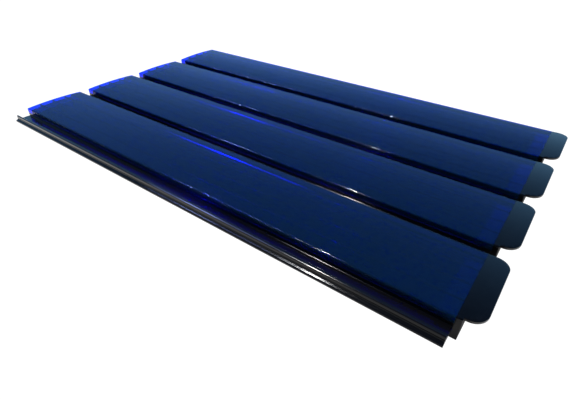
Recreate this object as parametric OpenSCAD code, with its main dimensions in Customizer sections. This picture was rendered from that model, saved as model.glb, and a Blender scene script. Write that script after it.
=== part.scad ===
// Four hollow cover slats hooked together into a roll-up mat.
// Each slat is one long extrusion: a black body and a clear blue skin that
// closes its four air chambers. A hook rail runs along the front edge and
// turns inside a round groove under the back edge of the next slat forward.
// X runs along the slats, Y across them from the front, Z is up.

/* [Slat] */
// Distance from one slat to the next
pitch = 63.5; // [62.5:0.5:64.5]
// Cut length of a slat, without its end cap
slat_len = 410; // [150:5:1000]
// Width of the blue top
top_w = 54.6; // [54:0.2:55]
// Overall thickness at the crown
thick = 16.6; // [16:0.1:17]
// Rise of the crown over the edges of the top
crown = 1.05; // [0.85:0.05:1.5]

/* [Blue skin] */
// Thickness of the clear top
skin_t = 1.0; // [0.8:0.1:1.2]
// Depth of the lip down the front edge
front_lip = 4.4; // [3:0.1:5]
// Depth of the lip down the back edge
back_lip = 1.5; // [1.4:0.05:1.6]
// Rounding of the two long top edges
edge_r = 1.0; // [0.6:0.1:1]

/* [Black body] */
// Thickness of the floor and the outer walls
wall_t = 1.2; // [1:0.1:1.4]
// Thickness of the webs between the chambers
web_t = 0.8; // [0.6:0.1:1]
// Distance between the webs
web_gap = 12.4; // [12:0.1:12.6]
// Rounding of the lower long edges
foot_r = 1.2; // [0.6:0.1:1.4]

/* [Hinge] */
// Distance of the hinge axis ahead of a slat's front edge
axis_reach = 10.6; // [10.4:0.1:10.8]
// Depth of the hinge axis below the top edges
axis_drop = 6.6; // [6.4:0.1:6.8]
// Radius that the hook's head turns in
head_r = 3.3; // [3.2:0.05:3.4]
// Clearance between the head and the groove
head_gap = 0.3; // [0.2:0.05:0.3]
// Wall of the groove
groove_t = 1.3; // [1.1:0.1:1.4]
// Thickness of the plate that carries the hook
plate_t = 2.0; // [1.6:0.1:2]
// Free play between a hook's end and the next end cap
hook_end_gap = 0.3; // [0.2:0.1:1]

/* [End cap] */
// Thickness of the collar against the end of the slat
collar_t = 3.3; // [2:0.1:5]
// Reach of the cap beyond the end of the slat
cap_reach = 13.0; // [12:0.1:20]
// Thickness of the wing
wing_t = 1.7; // [1.4:0.1:3]
// Corner radius of the wing in plan
wing_r = 8.3; // [2:0.1:8.5]
// Depth of the hollow spigots in the chambers
spigot_len = 9; // [5:0.5:20]

/* [Chamber plugs] */
// Depth of each plug behind the cut end of the slat
plug_recess = 5; // [2:0.5:20]
// Length of each plug
plug_len = 12; // [6:1:30]
// Clearance of plugs and spigots at their sides
fit_gap = 0.05; // [0.02:0.01:0.2]

/* [Hidden] */

slats = 4;
chambers = 4;
fine = 96;        // segments of a small circle
crown_fn = 1440;  // segments of the crown's large circle
past = 1;         // how far a cutting shape runs past what it cuts
overlap = 0.1;    // how far joined shapes of one piece run into each other

// Heights above the underside, in the section of one slat
top_z = thick - crown;
axis_z = top_z - axis_drop;
ledge_drop = 0.4;
ledge_z = axis_z - ledge_drop;
lip_z = top_z - front_lip;
shoulder_z = top_z - back_lip;

// The crown is one arc over the width of the top
crown_r = top_w * top_w / (8 * crown) + crown / 2;

// Groove under the back edge, where the next slat's axis lies
groove_y = pitch - axis_reach;
groove_r = head_r + head_gap;
groove_outer = groove_r + groove_t;
mouth_from = -106;  // lower tip of the groove wall
mouth_to = 22;      // upper tip of the groove wall
back_y = groove_y - head_r;

// Round inner wall that closes the last chamber, centred ahead of the groove
arch_lead = 3.1;
arch_y = groove_y - arch_lead;
arch_r = 8.2;
flange_z = axis_z + groove_r;

// The hook's head, from the hinge axis
bead_hi = [0.45, 2.5];
bead_hi_r = 0.95;
bead_lo = [-1.15, -1.75];
bead_lo_r = 1.35;
stem_front = -0.4;
stem_back = 1.3;
stem_lo = -2.4;
fillet_r = 1;
foot_fillet = 0.4;

// The wing lies a little inside the outline of the collar
wing_drop = 0.1;
wing_front = 1.8;
wing_back = 0.1;
wing_edge = 0.8;
wing_blend = 0.05;
spigot_t = 1.2;

// Offset that brings the centre of the whole mat's footprint to X = Y = 0
front_end = -axis_reach + bead_lo[0] - bead_lo_r;
rear_end = (slats - 1) * pitch + groove_y + groove_outer;
mid_y = (front_end + rear_end) / 2;
mid_x = (cap_reach - slat_len) / 2;

// ---- Section tools: the section's x is Y and its y is Z ----

module along_x(from, to)
  translate([from, 0, 0]) rotate([90, 0, 90]) linear_extrude(to - from) children();

module at_slat(i)
  translate([-mid_x, (i - 1) * pitch - mid_y, 0]) children();

module crown_disc(inset = 0)
  translate([top_w / 2, thick - crown_r]) circle(r = crown_r - inset, $fn = crown_fn);

module box(y0, z0, y1, z1)
  translate([y0, z0]) square([y1 - y0, z1 - z0]);

// What a round edge of radius r removes outside a corner
module corner_cut(y, z, r, sy, sz)
  translate([y, z]) difference() {
    box(min(0, sy * 2 * r), min(0, sz * 2 * r), max(0, sy * 2 * r), max(0, sz * 2 * r));
    circle(r = r, $fn = fine);
  }

function crown_height(y) =
  thick - crown_r + sqrt(crown_r * crown_r - (y - top_w / 2) * (y - top_w / 2));

// Outer form of the top: crowned, with round long edges
module top_form(bottom) {
  edge_z = crown_height(edge_r) - edge_r;
  difference() {
    intersection() {
      crown_disc();
      box(0, bottom, top_w, thick + past);
    }
    corner_cut(edge_r, edge_z, edge_r, -1, 1);
    corner_cut(top_w - edge_r, edge_z, edge_r, 1, 1);
  }
}

// ---- Blue skin ----

module skin_section()
  difference() {
    top_form(lip_z);
    intersection() {
      crown_disc(skin_t);
      box(wall_t, 0, top_w - skin_t, thick);
    }
    box(wall_t, lip_z - past, top_w + past, shoulder_z);
  }

// ---- Black body ----

// One chamber, closed at the top by the skin; gap is clearance at its sides
module chamber(k, gap = 0) {
  from = k == 1 ? wall_t : (k - 1) * web_gap + web_t / 2;
  to = k == chambers ? arch_y : k * web_gap - web_t / 2;
  difference() {
    intersection() {
      crown_disc(skin_t + gap);
      box(from + gap, wall_t, to - gap, thick);
    }
    if (k == chambers)
      translate([arch_y, axis_z]) circle(r = arch_r + gap, $fn = fine);
  }
}

// Hollow between the arch and the groove
module crescent()
  difference() {
    intersection() {
      translate([arch_y, axis_z]) circle(r = arch_r - wall_t, $fn = fine);
      box(0, wall_t, back_y - wall_t, flange_z);
    }
    translate([groove_y, axis_z]) circle(r = groove_outer, $fn = fine);
  }

// Closed outline below the skin, without hook or groove
module core_form() {
  difference() {
    intersection() {
      crown_disc(skin_t);
      box(0, 0, back_y, thick);
    }
    box(-past, lip_z, wall_t, thick);
    corner_cut(foot_r, foot_r, foot_r, -1, -1);
    corner_cut(back_y - foot_r, foot_r, foot_r, 1, -1);
  }
  intersection() {
    crown_disc(skin_t);
    box(arch_y - wall_t, flange_z, top_w - skin_t, thick);
  }
  box(arch_y - wall_t, flange_z, top_w, shoulder_z);
}

// Open side of the groove, from its lower tip round to its upper tip
module mouth() {
  reach = groove_outer + past;
  middle = (mouth_from + mouth_to) / 2;
  translate([groove_y, axis_z]) polygon([
    [0, 0],
    [reach * cos(mouth_from), reach * sin(mouth_from)],
    [2 * reach * cos(middle), 2 * reach * sin(middle)],
    [reach * cos(mouth_to), reach * sin(mouth_to)]
  ]);
}

module groove_tip(angle)
  translate([
    groove_y + (groove_r + groove_t / 2) * cos(angle),
    axis_z + (groove_r + groove_t / 2) * sin(angle)
  ]) circle(r = groove_t / 2, $fn = fine);

// Hammer head with an upper and a lower bead, cut by the circle it turns in
module hook_head()
  translate([-axis_reach, axis_z]) intersection() {
    circle(r = head_r, $fn = fine);
    union() {
      translate(bead_hi) circle(r = bead_hi_r, $fn = fine);
      translate(bead_lo) circle(r = bead_lo_r, $fn = fine);
      box(stem_front, stem_lo, stem_back, bead_hi[1]);
      translate([stem_front - fillet_r, bead_lo[1] + bead_lo_r - overlap]) difference() {
        box(0, 0, fillet_r + overlap, fillet_r);
        translate([0, fillet_r]) circle(r = fillet_r, $fn = fine);
      }
    }
  }

module hook_plate() {
  box(-axis_reach + stem_back - overlap, ledge_z - plate_t, wall_t / 2, ledge_z);
  translate([-foot_fillet, ledge_z - overlap]) difference() {
    box(0, 0, foot_fillet + wall_t / 2, foot_fillet + overlap);
    translate([0, foot_fillet + overlap]) circle(r = foot_fillet, $fn = fine);
  }
}

module body_section() {
  difference() {
    union() {
      core_form();
      translate([groove_y, axis_z]) circle(r = groove_outer, $fn = fine);
    }
    for (k = [1:chambers]) chamber(k);
    crescent();
    translate([groove_y, axis_z]) circle(r = groove_r, $fn = fine);
    mouth();
  }
  groove_tip(mouth_from);
  groove_tip(mouth_to);
}

module slat_body(i)
  color([0.05, 0.06, 0.07]) at_slat(i) {
    along_x(-slat_len, 0) body_section();
    along_x(-slat_len, -hook_end_gap) {
      hook_head();
      hook_plate();
    }
  }

module slat_window(i)
  color([0.06, 0.18, 0.75]) at_slat(i) along_x(-slat_len, 0) skin_section();

// ---- End cap: collar, wing and hollow spigots in one moulding ----

// The whole section of the slat, with the groove closed
module collar_section() {
  top_form(shoulder_z);
  difference() {
    box(0, 0, back_y, shoulder_z + overlap);
    corner_cut(foot_r, foot_r, foot_r, -1, -1);
    corner_cut(back_y - foot_r, foot_r, foot_r, 1, -1);
  }
  box(arch_y, flange_z, top_w, shoulder_z + overlap);
  translate([groove_y, axis_z]) circle(r = groove_outer, $fn = fine);
}

// Section of the wing, crowned like the slat
module wing_section() {
  side = wing_front;
  far = top_w - wing_back;
  difference() {
    intersection() {
      crown_disc(wing_drop);
      box(side, 0, far, thick);
    }
    crown_disc(wing_drop + wing_t);
    corner_cut(side + wing_edge, crown_height(side + wing_edge) - wing_drop - wing_edge,
               wing_edge, -1, 1);
    corner_cut(far - wing_edge, crown_height(far - wing_edge) - wing_drop - wing_edge,
               wing_edge, 1, 1);
  }
}

// Wing in plan, with its two outer corners rounded. It is wider than the wing's
// section, which makes the straight sides, and each round corner meets its side
// at a slight angle.
module wing_plan() {
  near = wing_front + wing_r - wing_blend;
  far = top_w - wing_back - wing_r + wing_blend;
  square_to = cap_reach - wing_r;
  translate([0, -past]) square([square_to, top_w + 2 * past]);
  translate([0, near]) square([cap_reach, far - near]);
  translate([square_to, near]) circle(r = wing_r, $fn = fine);
  translate([square_to, far]) circle(r = wing_r, $fn = fine);
}

module spigot(k)
  difference() {
    along_x(-spigot_len, collar_t / 2) chamber(k, fit_gap);
    along_x(-spigot_len - past, 0) spigot_bore(k);
  }

// Hollow of a spigot, round ended so that it draws from a mould
module spigot_bore(k) {
  from = (k == 1 ? wall_t : (k - 1) * web_gap + web_t / 2) + fit_gap + spigot_t;
  to = (k == chambers ? arch_y - arch_r : k * web_gap - web_t / 2) - fit_gap - spigot_t;
  r = (to - from) / 2;
  low = wall_t + spigot_t + r;
  high = top_z - skin_t - fit_gap - spigot_t - r;
  translate([from + r, low]) circle(r = r, $fn = fine);
  translate([from + r, high]) circle(r = r, $fn = fine);
  box(from, low, to, high);
}

module end_cap(i)
  color([0.10, 0.14, 0.17]) at_slat(i) {
    along_x(0, collar_t) collar_section();
    intersection() {
      along_x(collar_t / 2, cap_reach) wing_section();
      linear_extrude(thick + past) wing_plan();
    }
    for (k = [1:chambers]) spigot(k);
  }

// ---- Chamber plugs, pressed in at the open end ----

module plug(i, k)
  color([0.02, 0.02, 0.02]) at_slat(i)
    along_x(plug_recess - slat_len, plug_recess + plug_len - slat_len) chamber(k, fit_gap);

slat_body(1);  // slat_1_body
slat_window(1);  // slat_1_window
end_cap(1);  // slat_1_end_cap
plug(1, 1);  // slat_1_plug_1
plug(1, 2);  // slat_1_plug_2
plug(1, 3);  // slat_1_plug_3
plug(1, 4);  // slat_1_plug_4
slat_body(2);  // slat_2_body
slat_window(2);  // slat_2_window
end_cap(2);  // slat_2_end_cap
plug(2, 1);  // slat_2_plug_1
plug(2, 2);  // slat_2_plug_2
plug(2, 3);  // slat_2_plug_3
plug(2, 4);  // slat_2_plug_4
slat_body(3);  // slat_3_body
slat_window(3);  // slat_3_window
end_cap(3);  // slat_3_end_cap
plug(3, 1);  // slat_3_plug_1
plug(3, 2);  // slat_3_plug_2
plug(3, 3);  // slat_3_plug_3
plug(3, 4);  // slat_3_plug_4
slat_body(4);  // slat_4_body
slat_window(4);  // slat_4_window
end_cap(4);  // slat_4_end_cap
plug(4, 1);  // slat_4_plug_1
plug(4, 2);  // slat_4_plug_2
plug(4, 3);  // slat_4_plug_3
plug(4, 4);  // slat_4_plug_4
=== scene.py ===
"""Looks of the cover slats: blue skins over black hollow profiles, moulded end caps, stoppers.

Each CAD piece is replaced by a smoother one made from the same section. Sections are in
millimetres, and the meshes are turned into metres when they are made.
"""
import math

import bpy
import numpy as np
from mathutils import Matrix, Vector
from mathutils.geometry import delaunay_2d_cdt


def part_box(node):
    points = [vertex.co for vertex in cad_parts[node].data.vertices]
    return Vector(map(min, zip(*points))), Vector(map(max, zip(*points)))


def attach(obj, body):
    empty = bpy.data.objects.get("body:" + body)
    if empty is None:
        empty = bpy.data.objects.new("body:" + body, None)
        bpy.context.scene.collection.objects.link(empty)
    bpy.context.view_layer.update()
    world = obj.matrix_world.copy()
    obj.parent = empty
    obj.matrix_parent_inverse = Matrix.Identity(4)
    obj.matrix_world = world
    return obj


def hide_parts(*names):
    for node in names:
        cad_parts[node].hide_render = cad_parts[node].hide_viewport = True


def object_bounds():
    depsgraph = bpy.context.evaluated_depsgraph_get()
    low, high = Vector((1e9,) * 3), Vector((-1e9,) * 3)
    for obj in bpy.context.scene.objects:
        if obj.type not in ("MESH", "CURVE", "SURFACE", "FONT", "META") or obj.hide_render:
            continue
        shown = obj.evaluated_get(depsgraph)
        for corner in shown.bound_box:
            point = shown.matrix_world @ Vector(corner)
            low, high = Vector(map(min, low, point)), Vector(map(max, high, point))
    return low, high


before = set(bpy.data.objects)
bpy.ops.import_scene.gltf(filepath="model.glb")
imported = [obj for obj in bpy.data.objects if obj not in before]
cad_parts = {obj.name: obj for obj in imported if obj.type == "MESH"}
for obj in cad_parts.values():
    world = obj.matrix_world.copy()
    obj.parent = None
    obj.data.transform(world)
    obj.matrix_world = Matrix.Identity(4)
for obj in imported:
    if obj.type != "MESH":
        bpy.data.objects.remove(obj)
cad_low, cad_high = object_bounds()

MM = 0.001
SLATS = 4
CHAMBERS = 4

# ---- Section of one slat, in millimetres: y from its front edge, z from its underside ----

WINDOW_LOW, WINDOW_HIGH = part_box("slat_1_window")
UNDERSIDE_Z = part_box("slat_1_body")[0].z
CAP_TIP_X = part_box("slat_1_end_cap")[1].x

PITCH = (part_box("slat_2_window")[0].y - WINDOW_LOW.y) / MM
TOP_W = (WINDOW_HIGH.y - WINDOW_LOW.y) / MM
THICK = (WINDOW_HIGH.z - UNDERSIDE_Z) / MM
CROWN = 1.05         # how much higher the top is in the middle than at its long edges
TOP_Z = THICK - CROWN
CROWN_R = TOP_W ** 2 / (8 * CROWN) + CROWN / 2

SKIN_T = 1.0
LIP_Z = TOP_Z - 4.4  # lower end of the skin's lip at the front
SHOULDER_Z = TOP_Z - 1.5
EDGE_R = 1.0         # rounding of the top's long edges

WALL_T = 1.2
WEB_T = 0.8
WEB_GAP = 12.4
FOOT_R = 1.2

AXIS_REACH = 10.6    # how far the hinge axis lies in front of the slat
AXIS_Z = 8.95
HEAD_R = 3.3
GROOVE_Y = PITCH - AXIS_REACH
GROOVE_R = 3.6
GROOVE_T = 1.3
GROOVE_OUT = GROOVE_R + GROOVE_T
MOUTH_FROM = -106    # the groove's mouth, in degrees from +Y
MOUTH_TO = 22
BACK_Y = GROOVE_Y - HEAD_R
ARCH_Y = GROOVE_Y - 3.1
ARCH_R = 8.2
FLANGE_Z = AXIS_Z + GROOVE_R
LEDGE_Z = 8.55       # top of the hook's plate
LEDGE_R = 0.4
PLATE_T = 2.0

FLARE = 0.35         # how much a web widens each side where it is fused to the skin
FLARE_H = 0.45
CREST_Y = 49.2       # crest of the black body under the skin, with a long slope before it
CREST_R = 6.5
CREST_RISE = 0.45
CREST_BACK = 1.0     # radius of the short slope behind it

COLLAR_T = 3.3
COLLAR_ROUND = 0.2   # rounding of the collar's outer end
COLLAR_BEVEL = 0.06  # and of the end that meets the slat
CAP_REACH = (CAP_TIP_X - WINDOW_HIGH.x) / MM
WING_T = 1.7
WING_R = 8.3
ROOT_R = 1.2         # corners of the wing's root, inside the collar
WING_DROP = 0.02     # how far the wing lies below the collar, so that no seam shows
WING_FRONT = 1.8
WING_BACK = TOP_W - 0.1
WING_EDGE = 0.4      # rounding of its upper and lower edges
WING_LOWER_EDGE = 0.25
WING_GRID = 2.5      # spacing of the points that carry its crown
SPIGOT_LEN = 9
SPIGOT_T = 1.2
SPIGOT_CORNER = 0.3
SPIGOT_ROUND = 0.15
SHARP_DEGREES = 38   # a cap's edges steeper than this stay sharp
FIT_GAP = 0.05       # clearance of what is pressed into a chamber
BLUNT = 2.4          # height cut off the sharp corners beside the arch

PLUG_LOW, PLUG_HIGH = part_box("slat_1_plug_1")
PLUG_ROUND = 0.5
SOFT_CORNER = 0.6    # softness of a stopper's corners
PLUG_GRID = 0.9      # spacing of the points on its ends
PLUG_DENT = 0.1      # half of how uneven its ends are

BOND = 0.03          # how far the black body reaches into the skin where they are fused
CORNER = 0.12        # softness of the extrusion's corners
END_ROUND = 0.12     # rounding of the skin's sawn ends
BODY_END_ROUND = 0.05
SAMPLE = 0.1         # spacing of the points that an outline is smoothed on
CROWN_STEP = 0.5     # spacing of the points along the crown
FLATNESS = 0.002     # how far a kept outline may be from the smoothed one
LONGEST = 6          # longest straight run in it
RINGS = 9            # rings along a slat between its ends, which keep the shading even
RING_MARGIN = 10


def crown_z(y, inset=0.0):
    """Height of the crowned top at y, or of a surface that lies inset below it."""
    return THICK - CROWN_R + math.sqrt((CROWN_R - inset) ** 2 - (y - TOP_W / 2) ** 2)


def arc(cy, cz, r, start, end):
    """Points along an arc, with the angles in degrees."""
    n = max(2, int(abs(math.radians(end - start)) * r / SAMPLE))
    angles = (math.radians(start + (end - start) * i / n) for i in range(n + 1))
    return [(cy + r * math.cos(a), cz + r * math.sin(a)) for a in angles]


def crown_line(y0, y1, inset=0.0):
    n = max(2, int(abs(y1 - y0) / CROWN_STEP))
    return [(y, crown_z(y, inset)) for y in np.linspace(y0, y1, n + 1)]


def angle_at(cy, cz, y, z):
    return math.degrees(math.atan2(z - cz, y - cy))


def circle_y(cy, cz, r, z, side):
    return cy + side * math.sqrt(r * r - (z - cz) ** 2)


def circle_z(cy, cz, r, y, side):
    return cz + side * math.sqrt(r * r - (y - cy) ** 2)


def resampled(points, step):
    """The closed outline with points at equal distances."""
    p = np.array(points + points[:1], float)
    run = np.concatenate([[0], np.cumsum(np.hypot(*np.diff(p, axis=0).T))])
    at = np.arange(0, run[-1], run[-1] / max(8, round(run[-1] / step)))
    return np.stack([np.interp(at, run, p[:, k]) for k in (0, 1)], axis=1)


def simplified(points, tolerance):
    """Drops the points of a closed outline that lie on a straight run between others, but
    leaves no run too long."""
    n = len(points)
    far = int(np.argmax(np.hypot(*(points - points[0]).T)))
    kept = {0, far}
    runs = [(0, far), (far, n)]
    while runs:
        a, b = runs.pop()
        if b - a < 2:
            continue
        start, end = points[a], points[b % n]
        along = end - start
        between = points[a + 1:b] - start
        off = np.abs(between[:, 0] * along[1] - between[:, 1] * along[0])
        off /= max(1e-9, np.hypot(*along))
        worst = int(np.argmax(off))
        if off[worst] > tolerance or np.hypot(*along) > LONGEST:
            middle = a + 1 + worst if off[worst] > tolerance else (a + b) // 2
            kept.add(middle)
            runs += [(a, middle), (middle, b)]
    return points[sorted(kept)]


def softened(points, softness=CORNER):
    """The outline with its corners rounded by a short smoothing, flats and large arcs kept."""
    p = resampled(points, SAMPLE)
    reach = int(4 * softness / SAMPLE) + 1
    weights = np.exp(-0.5 * (np.arange(-reach, reach + 1) * SAMPLE / softness) ** 2)
    weights /= weights.sum()
    smooth = sum(w * np.roll(p, k - reach, axis=0) for k, w in enumerate(weights))
    return simplified(smooth, FLATNESS)


def turned(points, clockwise):
    """The outline running clockwise, or the other way."""
    y, z = points[:, 0], points[:, 1]
    area = np.sum(y * np.roll(z, -1) - np.roll(y, -1) * z)
    return points[::-1] if (area < 0) != clockwise else points


def inset_by(points, distance):
    """Moves an outline's points into the material, on the left as the outline runs."""
    before, after = points - np.roll(points, 1, axis=0), np.roll(points, -1, axis=0) - points
    ways = []
    for edge in (before, after):
        length = np.maximum(1e-9, np.hypot(edge[:, 0], edge[:, 1]))[:, None]
        ways.append(np.stack([-edge[:, 1], edge[:, 0]], axis=1) / length)
    middle = ways[0] + ways[1]
    size = np.maximum(1e-9, np.hypot(middle[:, 0], middle[:, 1]))[:, None]
    middle = middle / size
    cosine = np.maximum(0.5, np.sum(middle * ways[0], axis=1))[:, None]
    return points + middle * distance / cosine


def top_line():
    """The crowned top from the front edge to the back, with its rounded long edges."""
    front = arc(EDGE_R, crown_z(EDGE_R) - EDGE_R, EDGE_R, 180, 95)
    back = arc(TOP_W - EDGE_R, crown_z(TOP_W - EDGE_R) - EDGE_R, EDGE_R, 85, 0)
    return front + crown_line(EDGE_R + 0.2, TOP_W - EDGE_R - 0.2) + back


def skin_outline():
    under = crown_line(TOP_W - SKIN_T, WALL_T, SKIN_T)
    return (
        [(0, LIP_Z)] + top_line()
        + [(TOP_W, SHOULDER_Z), (TOP_W - SKIN_T, SHOULDER_Z)] + under + [(WALL_T, LIP_Z)]
    )


def web_top(y0, y1):
    """Where the black part is fused to the underside of the skin."""
    return crown_line(y0, y1, SKIN_T - BOND)


def hook_outline():
    """The rail along the front edge, from the top of its root round to the underside."""
    hy, hz = -AXIS_REACH, AXIS_Z
    return (
        [(0, LEDGE_Z + LEDGE_R)] + arc(-LEDGE_R, LEDGE_Z + LEDGE_R, LEDGE_R, 0, -90)
        + [(hy + 1.3, LEDGE_Z)] + [(hy + 1.3, hz + 2.0)]
        + arc(hy + 0.45, hz + 2.35, 0.9, -10, 150)
        + [(hy - 0.4, hz + 1.4)] + [(hy - 0.4, hz + 0.4)]
        + arc(hy - 1.4, hz + 0.5, 1.0, 0, -75)
        + arc(hy - 1.15, hz - 1.75, 1.35, 105, 285)
        + [(hy + 0.5, hz - 2.9), (hy + 1.0, LEDGE_Z - PLATE_T)]
        + [(0, LEDGE_Z - PLATE_T)]
    )


def body_outline():
    """Black part: floor, walls, webs, arch and groove, open under the skin."""
    lines = [(0, FOOT_R)] + hook_outline()[::-1] + [(0, LIP_Z + BOND), (WALL_T, LIP_Z + BOND)]
    left = WALL_T
    for k in range(1, CHAMBERS):
        web = k * WEB_GAP
        neck = crown_z(web, SKIN_T) - FLARE_H
        lines += [(left, WALL_T), (web - WEB_T / 2, WALL_T), (web - WEB_T / 2, neck)]
        lines += web_top(web - WEB_T / 2 - FLARE, web + WEB_T / 2 + FLARE)
        left = web + WEB_T / 2
        lines += [(left, neck)]
    lines += [(left, WALL_T)] + arch_line(ARCH_R, SKIN_T - BOND)
    crest_z = crown_z(CREST_Y, SKIN_T) + CREST_RISE
    front, back = (math.sqrt(r ** 2 - (r - CREST_RISE) ** 2) for r in (CREST_R, CREST_BACK))
    lines += web_top(lines[-1][0], CREST_Y - front)
    lines += arc(CREST_Y, crest_z - CREST_R, CREST_R,
                 90 + math.degrees(math.asin(front / CREST_R)), 90)
    lines += arc(CREST_Y, crest_z - CREST_BACK, CREST_BACK,
                 90, 90 - math.degrees(math.asin(back / CREST_BACK)))
    lines += web_top(CREST_Y + back, TOP_W - SKIN_T + BOND)
    lines += [(TOP_W - SKIN_T + BOND, SHOULDER_Z + BOND), (TOP_W, SHOULDER_Z + BOND)]
    ring_z = circle_z(GROOVE_Y, AXIS_Z, GROOVE_OUT, TOP_W, 1)
    lines += arc(GROOVE_Y, AXIS_Z, GROOVE_OUT, angle_at(GROOVE_Y, AXIS_Z, TOP_W, ring_z), MOUTH_TO)
    lines += groove_tip(MOUTH_TO, 0, -180)
    lines += arc(GROOVE_Y, AXIS_Z, GROOVE_R, MOUTH_TO, 360 + MOUTH_FROM)
    lines += groove_tip(MOUTH_FROM, 180, 0)
    back_z = circle_z(GROOVE_Y, AXIS_Z, GROOVE_OUT, BACK_Y, -1)
    lines += arc(GROOVE_Y, AXIS_Z, GROOVE_OUT, MOUTH_FROM,
                 angle_at(GROOVE_Y, AXIS_Z, BACK_Y, back_z))
    lines += arc(BACK_Y - FOOT_R, FOOT_R, FOOT_R, 0, -90)
    lines += arc(FOOT_R, FOOT_R, FOOT_R, -90, -180)
    return lines


def arch_line(r, inset):
    """The arch from the floor of the last chamber up to the underside of the skin."""
    foot = circle_y(ARCH_Y, AXIS_Z, r, WALL_T, -1)
    meet = next(y for y in np.arange(ARCH_Y - r, ARCH_Y, 0.02)
                if math.hypot(y - ARCH_Y, crown_z(y, inset) - AXIS_Z) < r)
    return arc(ARCH_Y, AXIS_Z, r, angle_at(ARCH_Y, AXIS_Z, foot, WALL_T) % 360,
               angle_at(ARCH_Y, AXIS_Z, meet, crown_z(meet, inset)))


def chamber_outline(k):
    """Air chamber k of a slat, less the clearance of what is pressed into it."""
    left = (WALL_T if k == 1 else (k - 1) * WEB_GAP + WEB_T / 2) + FIT_GAP
    inset = SKIN_T + FIT_GAP
    if k == CHAMBERS:
        arch = arch_line(ARCH_R + FIT_GAP, inset)
        side = [p for p in arch if WALL_T + BLUNT < p[1] < crown_z(p[0], inset) - BLUNT / 2]
        side = [(side[0][0], WALL_T)] + side + [(side[-1][0], crown_z(side[-1][0], inset))]
    else:
        right = k * WEB_GAP - WEB_T / 2 - FIT_GAP
        side = [(right, WALL_T), (right, crown_z(right, inset))]
    return [(left, WALL_T)] + side + crown_line(side[-1][0], left, inset)


def bore_outline(k):
    """Round-ended hollow of the spigot in chamber k."""
    left = (WALL_T if k == 1 else (k - 1) * WEB_GAP + WEB_T / 2) + FIT_GAP + SPIGOT_T
    right = (ARCH_Y - ARCH_R if k == CHAMBERS else k * WEB_GAP - WEB_T / 2) - FIT_GAP - SPIGOT_T
    r = (right - left) / 2
    low = WALL_T + SPIGOT_T + r
    high = TOP_Z - SKIN_T - FIT_GAP - SPIGOT_T - r
    return arc(left + r, high, r, 0, 180) + arc(left + r, low, r, 180, 360)


def collar_outline():
    """The whole section of the slat, with the groove closed."""
    ring_z = circle_z(GROOVE_Y, AXIS_Z, GROOVE_OUT, TOP_W, 1)
    back_z = circle_z(GROOVE_Y, AXIS_Z, GROOVE_OUT, BACK_Y, -1)
    return (
        arc(FOOT_R, FOOT_R, FOOT_R, 270, 180) + top_line()
        + arc(GROOVE_Y, AXIS_Z, GROOVE_OUT, angle_at(GROOVE_Y, AXIS_Z, TOP_W, ring_z),
              angle_at(GROOVE_Y, AXIS_Z, BACK_Y, back_z))
        + arc(BACK_Y - FOOT_R, FOOT_R, FOOT_R, 0, -90)
    )


def wing_outline():
    """The wing from above: x from the end of the slat, then y."""
    root, tip = COLLAR_T / 2 + ROOT_R, CAP_REACH - WING_R
    return (
        arc(root, WING_FRONT + ROOT_R, ROOT_R, 180, 270)
        + arc(tip, WING_FRONT + WING_R, WING_R, -90, 0)
        + arc(tip, WING_BACK - WING_R, WING_R, 0, 90)
        + arc(root, WING_BACK - ROOT_R, ROOT_R, 90, 180)
    )


def groove_tip(angle, start, end):
    """Round lip at one side of the groove's mouth, turned with the groove."""
    a = math.radians(angle)
    middle = GROOVE_R + GROOVE_T / 2
    return arc(GROOVE_Y + middle * math.cos(a), AXIS_Z + middle * math.sin(a),
               GROOVE_T / 2, angle + start, angle + end)


def crescent_outline():
    """Closed hollow between the arch and the groove."""
    inner, right = ARCH_R - WALL_T, BACK_Y - WALL_T
    top_y = circle_y(ARCH_Y, AXIS_Z, inner, FLANGE_Z, -1)
    ring_top = circle_z(GROOVE_Y, AXIS_Z, GROOVE_OUT, right, 1)
    ring_low = circle_z(GROOVE_Y, AXIS_Z, GROOVE_OUT, right, -1)
    low = circle_z(ARCH_Y, AXIS_Z, inner, right, -1)
    return (
        [(right, FLANGE_Z)]
        + arc(GROOVE_Y, AXIS_Z, GROOVE_OUT, angle_at(GROOVE_Y, AXIS_Z, right, ring_top),
              angle_at(GROOVE_Y, AXIS_Z, right, ring_low) % 360)
        + arc(ARCH_Y, AXIS_Z, inner, angle_at(ARCH_Y, AXIS_Z, right, low) % 360,
              angle_at(ARCH_Y, AXIS_Z, top_y, FLANGE_Z))
    )


# ---- Mesh tools ----

def filled(loops, spacing=None):
    """Triangles that fill a plane outline with holes. With a spacing, points are added inside."""
    points, edges, base = [], [], 0
    for loop in loops:
        n = len(loop)
        points += [Vector(p) for p in loop]
        edges += [(base + i, base + (i + 1) % n) for i in range(n)]
        base += n
    if spacing:
        outer = np.array(loops[0])
        low, high = outer.min(axis=0), outer.max(axis=0)
        for u in np.arange(low[0] + spacing, high[0] - spacing / 2, spacing):
            for v in np.arange(low[1] + spacing, high[1] - spacing / 2, spacing):
                if deep_inside(outer, u, v, spacing * 0.4):
                    points.append(Vector((u, v)))
    within_outline = 1
    verts, _, faces, origin, _, _ = delaunay_2d_cdt(points, edges, [], within_outline, 1e-7)
    for hole in loops[1:]:
        middles = [sum((verts[v] for v in face), Vector((0, 0))) / 3 for face in faces]
        faces = [f for f, m in zip(faces, middles) if not inside(hole, m.x, m.y)]
    return [tuple(v) for v in verts], faces, origin, base


def inside(outline, u, v):
    """Whether a point lies inside an outline, by how many edges are crossed on the way out."""
    a, b = outline, np.roll(outline, -1, axis=0)
    crosses = (a[:, 1] > v) != (b[:, 1] > v)
    a, b = a[crosses], b[crosses]
    at = a[:, 0] + (v - a[:, 1]) * (b[:, 0] - a[:, 0]) / (b[:, 1] - a[:, 1])
    return np.sum(u < at) % 2 == 1


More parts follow.
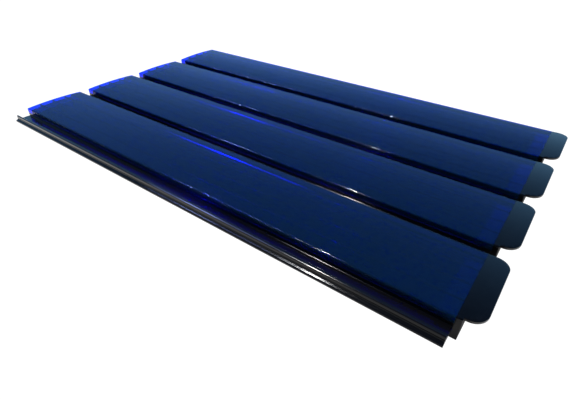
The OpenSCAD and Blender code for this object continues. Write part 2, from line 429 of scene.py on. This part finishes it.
def deep_inside(outline, u, v, margin):
    """Whether a point lies inside an outline and not near its edge."""
    return inside(outline, u, v) and np.min(np.hypot(*(outline - (u, v)).T)) > margin


def stacked(loops, stations, place, spacing=None):
    """Closed mesh through the same loops at each station. A station is (height, inset), and
    place turns a loop's point and a height into a point in space. Both ends are filled."""
    verts, faces, firsts = [], [], []
    for height, inset in stations:
        firsts.append(len(verts))
        for loop in loops:
            ring = inset_by(loop, inset) if inset else loop
            verts += [place(p[0], p[1], height) for p in ring]
    for lower, upper in zip(firsts, firsts[1:]):
        base = 0
        for loop in loops:
            n = len(loop)
            for i in range(n):
                a, b = base + i, base + (i + 1) % n
                faces.append((lower + a, lower + b, upper + b, upper + a))
            base += n
    for (height, inset), first, flip in ((stations[0], firsts[0], True),
                                         (stations[-1], firsts[-1], False)):
        ring = [inset_by(loop, inset) if inset else loop for loop in loops]
        inner, triangles, origin, count = filled(ring, spacing)
        index = {}
        for i, source in enumerate(origin):
            known = [s for s in source if s < count]
            if known:
                index[i] = first + known[0]
            else:
                index[i] = len(verts)
                verts.append(place(inner[i][0], inner[i][1], height))
        for triangle in triangles:
            face = tuple(index[i] for i in triangle)
            faces.append(face[::-1] if flip else face)
    return verts, faces


def new_mesh(name, verts, faces):
    mesh = bpy.data.meshes.new(name)
    mesh.from_pydata([Vector(v) * MM for v in verts], [], faces)
    mesh.validate()
    return mesh


def new_piece(name, mesh, material, body, node):
    mesh.materials.append(material)
    piece = bpy.data.objects.new(name, mesh)
    bpy.context.scene.collection.objects.link(piece)
    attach(piece, body)
    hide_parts(node)
    return piece


def united(name, solids):
    """One closed mesh from closed meshes that run into each other."""
    objects = []
    for k, (verts, faces) in enumerate(solids):
        part = bpy.data.objects.new(f"{name}_{k}", new_mesh(f"{name}_{k}", verts, faces))
        bpy.context.scene.collection.objects.link(part)
        objects.append(part)
    for other in objects[1:]:
        union = objects[0].modifiers.new("union", "BOOLEAN")
        union.operation = "UNION"
        union.solver = "EXACT"
        union.object = other
    graph = bpy.context.evaluated_depsgraph_get()
    mesh = bpy.data.meshes.new_from_object(objects[0].evaluated_get(graph))
    mesh.name = name
    for part in objects:
        bpy.data.objects.remove(part)
    return mesh


def shade_by_area(mesh):
    """Smooth shading in which the large faces stay flat and the roundings take the turn."""
    normals = np.zeros((len(mesh.vertices), 3))
    for face in mesh.polygons:
        for v in face.vertices:
            normals[v] += np.array(face.normal) * face.area
    lengths = np.maximum(1e-12, np.linalg.norm(normals, axis=1))[:, None]
    mesh.shade_smooth()
    mesh.normals_split_custom_set_from_vertices([tuple(n) for n in normals / lengths])


def rounded_ends(start, end, radius, middle=()):
    """Stations of an extrusion whose two ends have a small rounding, four at each end."""
    quarter = [math.radians(a) for a in (0, 30, 60, 90)]
    first = [(start + radius * (1 - math.cos(a)), radius * (1 - math.sin(a))) for a in quarter]
    last = [(end - (x - start), inset) for x, inset in first[::-1]]
    return first + [(x, 0) for x in middle] + last


def rounded_slab(thickness, upper, lower):
    """Stations of a slab from its underside up to its top face at 0, with rounded edges."""
    quarter = [math.radians(a) for a in (0, 22.5, 45, 67.5, 90)]
    low = [(lower * (1 - math.sin(a)) - thickness, lower * (1 - math.cos(a))) for a in quarter]
    high = [(-upper * (1 - math.sin(a)), upper * (1 - math.cos(a))) for a in quarter]
    return low[::-1] + high


def slat_place(i):
    """Turns a section point (y, z) of slat i and an x into the row frame, in millimetres."""
    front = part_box(f"slat_{i}_window")[0].y / MM
    return lambda y, z, x: (x, front + y, z)


# ---- Materials ----

def new_material(name, **values):
    material = bpy.data.materials.new(name)
    material.use_nodes = True
    shader = material.node_tree.nodes["Principled BSDF"]
    for key, value in values.items():
        shader.inputs[key.replace("_", " ")].default_value = value
    return material, material.node_tree, shader


def stretched_noise(tree, scale, lengths, detail=2.0):
    """Noise in the object's own coordinates, drawn out by the given lengths."""
    coordinates = tree.nodes.new("ShaderNodeTexCoord")
    mapping = tree.nodes.new("ShaderNodeMapping")
    mapping.inputs["Scale"].default_value = lengths
    noise = tree.nodes.new("ShaderNodeTexNoise")
    noise.inputs["Scale"].default_value = scale
    noise.inputs["Detail"].default_value = detail
    tree.links.new(coordinates.outputs["Object"], mapping.inputs["Vector"])
    tree.links.new(mapping.outputs["Vector"], noise.inputs["Vector"])
    return noise.outputs["Fac"]


def ranged(tree, source, low, high):
    node = tree.nodes.new("ShaderNodeMapRange")
    node.inputs["From Min"].default_value = 0.3
    node.inputs["From Max"].default_value = 0.7
    node.inputs["To Min"].default_value = low
    node.inputs["To Max"].default_value = high
    tree.links.new(source, node.inputs["Value"])
    return node.outputs["Result"]


def mixed_colour(tree, source, first, second):
    node = tree.nodes.new("ShaderNodeMix")
    node.data_type = "RGBA"
    node.inputs["A"].default_value = (*first, 1)
    node.inputs["B"].default_value = (*second, 1)
    tree.links.new(source, node.inputs["Factor"])
    return node.outputs["Result"]


def bumped(tree, shader, source, strength, distance):
    bump = tree.nodes.new("ShaderNodeBump")
    bump.inputs["Strength"].default_value = strength
    bump.inputs["Distance"].default_value = distance
    tree.links.new(source, bump.inputs["Height"])
    tree.links.new(bump.outputs["Normal"], shader.inputs["Normal"])


def skin_material():
    material, tree, shader = new_material(
        "blue_skin", Base_Color=(0.07, 0.45, 1, 1), Transmission_Weight=0.98,
        IOR=1.08, Roughness=0.06, Coat_Weight=0.3, Coat_Roughness=0.06)
    lines = stretched_noise(tree, 900, (0.001, 1, 1))
    bumped(tree, shader, lines, 0.012, 0.0001)
    dye = tree.nodes.new("ShaderNodeVolumeAbsorption")
    dye.inputs["Color"].default_value = (0, 0, 1, 1)
    dye.inputs["Density"].default_value = 1700
    tree.links.new(dye.outputs["Volume"], tree.nodes["Material Output"].inputs["Volume"])
    return material


def body_material():
    material, tree, shader = new_material(
        "black_body", Base_Color=(0.003, 0.003, 0.004, 1), IOR=1.5, Roughness=0.1)
    lines = stretched_noise(tree, 900, (0.002, 1, 1))
    bumped(tree, shader, lines, 0.04, 0.0001)
    tone = stretched_noise(tree, 60, (0.1, 1, 1))
    tree.links.new(mixed_colour(tree, ranged(tree, tone, 0, 1), (0.002, 0.002, 0.003),
                                (0.004, 0.004, 0.005)), shader.inputs["Base Color"])
    tree.links.new(ranged(tree, tone, 0.08, 0.13), shader.inputs["Roughness"])
    return material


def cap_material():
    material, tree, shader = new_material(
        "black_cap", Base_Color=(0.001, 0.001, 0.0015, 1), IOR=1.5, Roughness=0.16)
    grain = stretched_noise(tree, 2500, (1, 1, 1), 3)
    bumped(tree, shader, grain, 0.05, 0.0001)
    cloud = stretched_noise(tree, 120, (1, 1, 1))
    tree.links.new(ranged(tree, cloud, 0.12, 0.2), shader.inputs["Roughness"])
    return material


def plug_material():
    material, tree, shader = new_material(
        "black_plug", Base_Color=(0.01, 0.01, 0.011, 1), IOR=1.45, Roughness=0.7)
    cells = stretched_noise(tree, 1800, (1, 1, 1), 4)
    bumped(tree, shader, cells, 0.6, 0.0004)
    tree.links.new(mixed_colour(tree, ranged(tree, cells, 0, 1), (0.006, 0.006, 0.007),
                                (0.020, 0.020, 0.022)), shader.inputs["Base Color"])
    return material


# ---- Pieces ----

def make_slat(i, materials):
    place = slat_place(i)
    body = f"slat_{i}"
    x0, x1 = WINDOW_LOW.x / MM, WINDOW_HIGH.x / MM
    spots = list(np.linspace(x0 + RING_MARGIN, x1 - RING_MARGIN, RINGS))
    ends = rounded_ends(x0, x1, END_ROUND, spots)

    skin = turned(softened(skin_outline()), clockwise=False)
    mesh = new_mesh(f"{body}_skin", *stacked([skin], ends, place))
    shade_by_area(mesh)
    new_piece(f"{body}_skin", mesh, materials["skin"], body, f"{body}_window")

    outer = turned(softened(body_outline()), clockwise=False)
    hole = turned(softened(crescent_outline()), clockwise=True)
    ends = rounded_ends(x0, x1, BODY_END_ROUND, spots)
    mesh = new_mesh(f"{body}_profile", *stacked([outer, hole], ends, place))
    shade_by_area(mesh)
    new_piece(f"{body}_profile", mesh, materials["body"], body, f"{body}_body")


def make_cap(i, materials):
    """End cap: collar, crowned wing and four hollow spigots, fused into one moulding."""
    place = slat_place(i)
    body = f"slat_{i}"
    end = WINDOW_HIGH.x / MM
    collar = turned(softened(collar_outline()), clockwise=False)
    inner_end = [(end, COLLAR_BEVEL), (end + COLLAR_BEVEL, 0)]
    outer_end = rounded_ends(end, end + COLLAR_T, COLLAR_ROUND)[4:]
    solids = [stacked([collar], inner_end + outer_end, place)]

    wing = turned(softened(wing_outline()), clockwise=False)
    front = place(0, 0, 0)[1]
    solids.append(stacked(
        [wing], rounded_slab(WING_T, WING_EDGE, WING_LOWER_EDGE),
        lambda x, y, h: (end + x, front + y, crown_z(y) - WING_DROP + h), WING_GRID))

    for k in range(1, CHAMBERS + 1):
        loops = [turned(softened(chamber_outline(k), SPIGOT_CORNER), clockwise=False),
                 turned(softened(bore_outline(k)), clockwise=True)]
        ends = rounded_ends(end - SPIGOT_LEN, end + COLLAR_T / 2, SPIGOT_ROUND)
        solids.append(stacked(loops, ends, place))

    mesh = united(f"{body}_cap", solids)
    mesh.shade_smooth()
    mesh.set_sharp_from_angle(angle=math.radians(SHARP_DEGREES))
    piece = new_piece(f"{body}_cap", mesh, materials["cap"], body, f"{body}_end_cap")
    weighted = piece.modifiers.new("weighted", "WEIGHTED_NORMAL")
    weighted.keep_sharp = True


def make_plugs(i, materials):
    """Soft stoppers with rounded rims and slightly uneven ends, pressed into the chambers."""
    place = slat_place(i)
    x0, x1 = PLUG_LOW.x / MM, PLUG_HIGH.x / MM

    def uneven(y, z, x):
        outwards = 1 if x > (x0 + x1) / 2 else -1
        wave = math.sin(2.3 * y + 1.7 * z + i) * math.cos(1.9 * z - 1.3 * y)
        dent = PLUG_DENT * (1 + wave)
        return place(y, z, x - outwards * dent)

    for k in range(1, CHAMBERS + 1):
        loop = turned(softened(chamber_outline(k), SOFT_CORNER), clockwise=False)
        name = f"slat_{i}_stopper_{k}"
        ends = rounded_ends(x0, x1, PLUG_ROUND)
        mesh = new_mesh(name, *stacked([loop], ends, uneven, PLUG_GRID))
        shade_by_area(mesh)
        new_piece(name, mesh, materials["plug"], f"slat_{i}", f"slat_{i}_plug_{k}")


CAMERA_RIGHT = 0.01275    # metres past the slats' right ends
CAMERA_FRONT = 0.135      # metres before the mat
CAMERA_UP = 0.1739
CAMERA_DOWN_TILT = 35.585
CAMERA_TURN = 36.70       # degrees to the left of +Y
LENS = 25.675             # on a sensor 36 mm wide


def make_camera():
    """Above and in front of the mat, over its right end, looking back to the left."""
    data = bpy.data.cameras.new("camera")
    data.sensor_width = 36
    data.lens = LENS
    data.clip_start = 0.005
    camera = bpy.data.objects.new("camera", data)
    camera.location = (WINDOW_HIGH.x + CAMERA_RIGHT, cad_low.y - CAMERA_FRONT, CAMERA_UP)
    camera.rotation_euler = (math.radians(90 - CAMERA_DOWN_TILT), 0, math.radians(CAMERA_TURN))
    bpy.context.scene.collection.objects.link(camera)
    bpy.context.scene.camera = camera


FLOOR_SIZE = 8
FLOOR_SEEN = 1.1     # brightness of the floor as the camera sees it
FLOOR_LEFT = 1.3     # and as it lights the object, at its open end and at its end caps
FLOOR_RIGHT = 0.33
FLOOR_BEYOND = 4.0   # how much brighter it is past the wings
FLOOR_UNDER_SHADOW = 0.06   # and how much darker under the mat, a painted shadow of the mat on the glowing floor
FLOOR_DEPTH = 0.17   # how far it lies below the mat
FLOOR_GAP = 0.0002   # and how far the plane that lights the mat does


def make_plane(name, z):
    """Large plane that glows, with its node tree and its emission shader."""
    far = FLOOR_SIZE
    mesh = bpy.data.meshes.new(name)
    mesh.from_pydata([(-far, -far, 0), (far, -far, 0), (far, far, 0), (-far, far, 0)],
                     [], [(0, 1, 2, 3)])
    material = bpy.data.materials.new(name)
    material.use_nodes = True
    tree = material.node_tree
    tree.nodes.clear()
    output = tree.nodes.new("ShaderNodeOutputMaterial")
    glow = tree.nodes.new("ShaderNodeEmission")
    tree.links.new(glow.outputs["Emission"], output.inputs["Surface"])
    mesh.materials.append(material)
    plane = bpy.data.objects.new(name, mesh)
    plane.location.z = z
    bpy.context.scene.collection.objects.link(plane)
    return plane, tree, glow


def make_floor():
    """The floor lies low enough for the mat to roll up above it. The light that it throws
    back comes from a second plane right under the mat, which the camera doesn't see."""
    _, _, glow = make_plane("floor", -FLOOR_DEPTH)
    glow.inputs["Strength"].default_value = FLOOR_SEEN

    plane, tree, glow = make_plane("floor_glow", -FLOOR_GAP)
    plane.visible_camera = False
    plane.visible_shadow = False
    clear = tree.nodes.new("ShaderNodeBsdfTransparent")
    sides = tree.nodes.new("ShaderNodeNewGeometry")
    either = tree.nodes.new("ShaderNodeMixShader")
    tree.links.new(sides.outputs["Backfacing"], either.inputs["Fac"])
    tree.links.new(glow.outputs["Emission"], either.inputs[1])
    tree.links.new(clear.outputs["BSDF"], either.inputs[2])
    tree.links.new(either.outputs["Shader"], tree.nodes["Material Output"].inputs["Surface"])

    coordinates = tree.nodes.new("ShaderNodeTexCoord")
    split = tree.nodes.new("ShaderNodeSeparateXYZ")
    tree.links.new(coordinates.outputs["Object"], split.inputs["Vector"])

    def maths(operation, first, second):
        node = tree.nodes.new("ShaderNodeMath")
        node.operation = operation
        for socket, value in zip(node.inputs, (first, second)):
            if isinstance(value, float):
                socket.default_value = value
            else:
                tree.links.new(value, socket)
        return node.outputs["Value"]

    def level(source, at_low, at_high, low, high):
        node = tree.nodes.new("ShaderNodeMapRange")
        for key, value in (("From Min", at_low), ("From Max", at_high),
                           ("To Min", low), ("To Max", high)):
            node.inputs[key].default_value = value
        tree.links.new(source, node.inputs["Value"])
        return node.outputs["Result"]

    # distance outside the mat's footprint, less than 0 under it
    x_out = maths("SUBTRACT", maths("ABSOLUTE", split.outputs["X"], 0.0), cad_high.x)
    middle, half = (WINDOW_LOW.y + cad_high.y) / 2, (cad_high.y - WINDOW_LOW.y) / 2
    y_off = maths("ABSOLUTE", maths("SUBTRACT", split.outputs["Y"], middle), 0.0)
    outside = maths("MAXIMUM", x_out, maths("SUBTRACT", y_off, half))

    along = level(split.outputs["X"], cad_low.x, cad_high.x, FLOOR_LEFT, FLOOR_RIGHT)
    beyond = level(split.outputs["X"], cad_high.x - 0.006, cad_high.x + 0.01,
                   1.0, FLOOR_BEYOND)
    # painted shadow: the glow that lights the mat is dimmed under its footprint, where the mat
    # would shade the floor
    shade = level(outside, -0.012, 0.008, FLOOR_UNDER_SHADOW, 1.0)
    tree.links.new(maths("MULTIPLY", maths("MULTIPLY", along, beyond), shade),
                   glow.inputs["Strength"])


STRIP_DISTANCE = 2.0
STRIP_PARTS = 3
STRIPS = (  # name, part of its direction along X, start and end degrees, width, radiance
    ("key", -0.315, 84, 108, 0.08, (150, 147, 142)),
    ("key_glow", -0.34, 84, 108, 0.3, (12, 12.5, 14)),
    ("side", -0.635, 62, 84, 0.2, (13, 17, 38)),
    ("side_glow", -0.6, 64, 86, 0.75, (5, 6, 14)),
)

BACKGROUND = (0.86, 0.89, 0.92, 1)   # what the camera sees above the floor
FRONT_LIGHT = 0.12   # brightness of the surroundings in front of the mat, against the rest

SKY = (  # elevation in degrees, then the light's red, green and blue there
    (0, (0.52, 0.98, 1.38)),
    (10, (0.347, 0.719, 1.129)),
    (14, (0.287, 0.631, 1.038)),
    (18, (0.237, 0.547, 0.939)),
    (22, (0.196, 0.469, 0.836)),
    (26, (0.162, 0.397, 0.732)),
    (30, (0.134, 0.332, 0.630)),
    (35, (0.105, 0.262, 0.511)),
    (40, (0.082, 0.203, 0.405)),
    (45, (0.064, 0.155, 0.313)),
    (53, (0.042, 0.097, 0.197)),
    (90, (0.016, 0.034, 0.070)),
)


def make_sky():
    """Soft surrounding light that falls off from the horizon to the zenith, and is dimmer in
    front. The camera sees a plain background instead."""
    world = bpy.data.worlds.new("sky")
    bpy.context.scene.world = world
    world.use_nodes = True
    tree = world.node_tree
    coordinates = tree.nodes.new("ShaderNodeTexCoord")
    split = tree.nodes.new("ShaderNodeSeparateXYZ")
    ramp = tree.nodes.new("ShaderNodeValToRGB")
    tree.links.new(coordinates.outputs["Generated"], split.inputs["Vector"])
    tree.links.new(split.outputs["Z"], ramp.inputs["Fac"])
    tree.links.new(ramp.outputs["Color"], tree.nodes["Background"].inputs["Color"])
    plain = tree.nodes.new("ShaderNodeBackground")
    plain.inputs["Color"].default_value = BACKGROUND
    path = tree.nodes.new("ShaderNodeLightPath")
    seen = tree.nodes.new("ShaderNodeMixShader")
    tree.links.new(path.outputs["Is Camera Ray"], seen.inputs["Fac"])
    tree.links.new(tree.nodes["Background"].outputs["Background"], seen.inputs[1])
    tree.links.new(plain.outputs["Background"], seen.inputs[2])
    tree.links.new(seen.outputs["Shader"], tree.nodes["World Output"].inputs["Surface"])
    stops = ramp.color_ramp.elements
    for k, (elevation, colour) in enumerate(SKY):
        at = math.sin(math.radians(elevation))
        stop = stops[k] if k < 2 else stops.new(at)
        stop.position = at
        stop.color = (*colour, 1)
    front = tree.nodes.new("ShaderNodeMapRange")
    for key, value in (("From Min", -0.6), ("From Max", 0.05), ("To Min", FRONT_LIGHT)):
        front.inputs[key].default_value = value
    tree.links.new(split.outputs["Y"], front.inputs["Value"])
    tree.links.new(front.outputs["Result"], tree.nodes["Background"].inputs["Strength"])


def make_strip(name, x_part, start, end, width, radiance):
    """Tall curved strip light, in straight segments. Seen from the mat, all of it has the
    same part along X, and it stands from start to end degrees, from +Y up over the mat. It
    gives the streaks along the slats."""
    span = (end - start) / STRIP_PARTS
    for k in range(STRIP_PARTS):
        angle = math.radians(start + (k + 0.5) * span)
        across = math.sqrt(1 - x_part ** 2)
        towards = Vector((x_part, across * math.cos(angle), across * math.sin(angle)))
        data = bpy.data.lights.new(f"{name}_{k}", "AREA")
        data.shape = "RECTANGLE"
        data.size = width
        data.size_y = 2 * STRIP_DISTANCE * across * math.tan(math.radians(span / 2))
        data.color = [c / max(radiance) for c in radiance]
        data.energy = max(radiance) * data.size * data.size_y * math.pi
        light = bpy.data.objects.new(f"{name}_{k}", data)
        light.location = towards * STRIP_DISTANCE
        along = Vector((0, -math.sin(angle), math.cos(angle)))
        side = along.cross(towards).normalized()
        light.rotation_euler = Matrix((side, along, towards)).transposed().to_euler()
        bpy.context.scene.collection.objects.link(light)


def main():
    materials = {"skin": skin_material(), "body": body_material(), "cap": cap_material(),
                 "plug": plug_material()}
    for i in range(1, SLATS + 1):
        make_slat(i, materials)
        make_cap(i, materials)
        make_plugs(i, materials)
    make_camera()
    make_floor()
    make_sky()
    for strip in STRIPS:
        make_strip(*strip)
    scene = bpy.context.scene
    scene.view_settings.view_transform = "Standard"


main()
